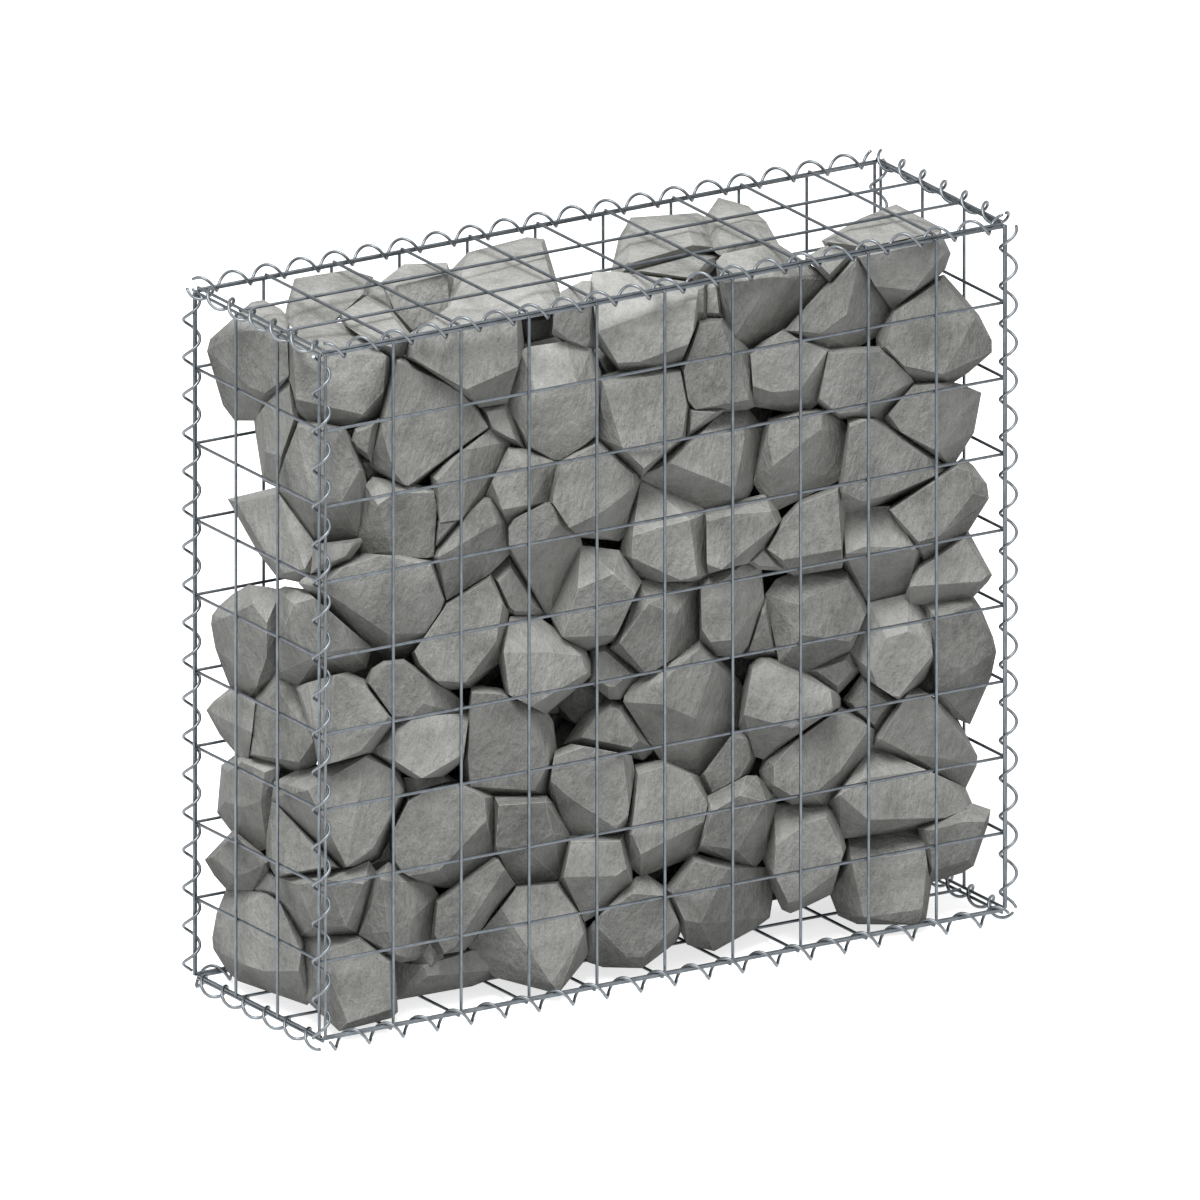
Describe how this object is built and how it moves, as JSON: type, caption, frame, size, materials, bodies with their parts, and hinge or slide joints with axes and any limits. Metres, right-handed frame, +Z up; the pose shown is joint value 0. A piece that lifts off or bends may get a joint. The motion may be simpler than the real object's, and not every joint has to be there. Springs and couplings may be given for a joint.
{
  "type": "gabion",
  "caption": "Free-standing welded-mesh gabion basket, laced along its edges with wire spirals and filled with angular crushed stone, for garden and retaining walls.",
  "frame": {"origin": "on the ground, under the middle of the basket", "axes": "+X along the wall's length, towards the right end; +Y towards the back; +Z up"},
  "size_m": [1.0362, 0.3362, 0.9362],
  "materials": {
    "mesh_wire": "dull hot-dip galvanised",
    "spiral_wire": "bright galvanised",
    "crushed_stone": "matt split rock"
  },
  "bodies": {
    "root": {"back_base_spiral": "spiral_wire", "back_left_corner_spiral": "spiral_wire", "back_panel": "mesh_wire", "back_right_corner_spiral": "spiral_wire", "back_stones_row_1": "crushed_stone", "back_stones_row_2": "crushed_stone", "back_stones_row_3": "crushed_stone", "back_stones_row_4": "crushed_stone", "back_stones_row_5": "crushed_stone", "back_stones_row_6": "crushed_stone", "back_stones_row_7": "crushed_stone", "back_top_spiral": "spiral_wire", "base_panel": "mesh_wire", "front_base_spiral": "spiral_wire", "front_left_corner_spiral": "spiral_wire", "front_panel": "mesh_wire", "front_right_corner_spiral": "spiral_wire", "front_stones_row_1": "crushed_stone", "front_stones_row_2": "crushed_stone", "front_stones_row_3": "crushed_stone", "front_stones_row_4": "crushed_stone", "front_stones_row_5": "crushed_stone", "front_stones_row_6": "crushed_stone", "front_stones_row_7": "crushed_stone", "front_stones_row_8": "crushed_stone", "front_top_spiral": "spiral_wire", "left_base_spiral": "spiral_wire", "left_end_panel": "mesh_wire", "left_stones": "crushed_stone", "left_top_spiral": "spiral_wire", "lid_panel": "mesh_wire", "right_base_spiral": "spiral_wire", "right_end_panel": "mesh_wire", "right_top_spiral": "spiral_wire", "top_stones": "crushed_stone"}
  },
  "joints": []
}
